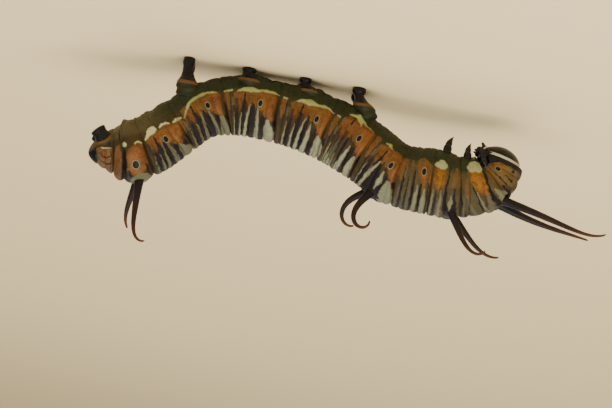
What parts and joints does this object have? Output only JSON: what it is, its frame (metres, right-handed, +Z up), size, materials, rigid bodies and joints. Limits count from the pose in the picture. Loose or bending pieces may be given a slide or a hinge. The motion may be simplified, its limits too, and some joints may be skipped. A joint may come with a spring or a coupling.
{
  "type": "butterfly larva model",
  "caption": "Life-size still model of a full-grown crow butterfly larva, banded and orange-sided with dark fleshy filaments, standing on its prolegs.",
  "frame": {"origin": "centre of the bounding box, at the level of the soles of the middle prolegs", "axes": "+Z up, -X towards the head, -Y the animal's left side"},
  "size_m": [0.0555, 0.0102, 0.0207],
  "materials": {
    "skin": "satin skin with transverse black, white and olive bands, orange flank patches and a cream side line",
    "head_capsule": "glossy black with white arcs",
    "mouthparts": "glossy dark brown",
    "leg_cuticle": "glossy black",
    "proleg": "black shield and sole on an olive and orange-brown fleshy base",
    "filament": "satin dark purplish brown, reddish at the tip"
  },
  "bodies": {
    "root": {"anal_segment": "skin", "abdomen_9": "skin", "abdomen_8": "skin", "abdomen_7": "skin", "abdomen_6": "skin", "abdomen_5": "skin", "abdomen_4": "skin", "abdomen_3": "skin", "abdomen_2": "skin", "abdomen_1": "skin", "thorax_3": "skin", "thorax_2": "skin", "thorax_1": "skin", "head": "head_capsule", "mouthparts": "mouthparts", "antenna_left": "mouthparts", "antenna_right": "mouthparts", "filament_thorax_2_left": "filament", "filament_thorax_2_right": "filament", "filament_thorax_3_left": "filament", "filament_thorax_3_right": "filament", "filament_abdomen_2_left": "filament", "filament_abdomen_2_right": "filament", "filament_abdomen_8_left": "filament", "filament_abdomen_8_right": "filament", "proleg_abdomen_3_left": "proleg", "proleg_abdomen_3_right": "proleg", "proleg_abdomen_4_left": "proleg", "proleg_abdomen_4_right": "proleg", "proleg_abdomen_5_left": "proleg", "proleg_abdomen_5_right": "proleg", "proleg_abdomen_6_left": "proleg", "proleg_abdomen_6_right": "proleg", "anal_proleg_left": "proleg", "anal_proleg_right": "proleg", "leg_thorax_1_left": "leg_cuticle", "leg_thorax_1_right": "leg_cuticle", "leg_thorax_2_left": "leg_cuticle", "leg_thorax_2_right": "leg_cuticle", "leg_thorax_3_left": "leg_cuticle", "leg_thorax_3_right": "leg_cuticle"}
  },
  "joints": []
}
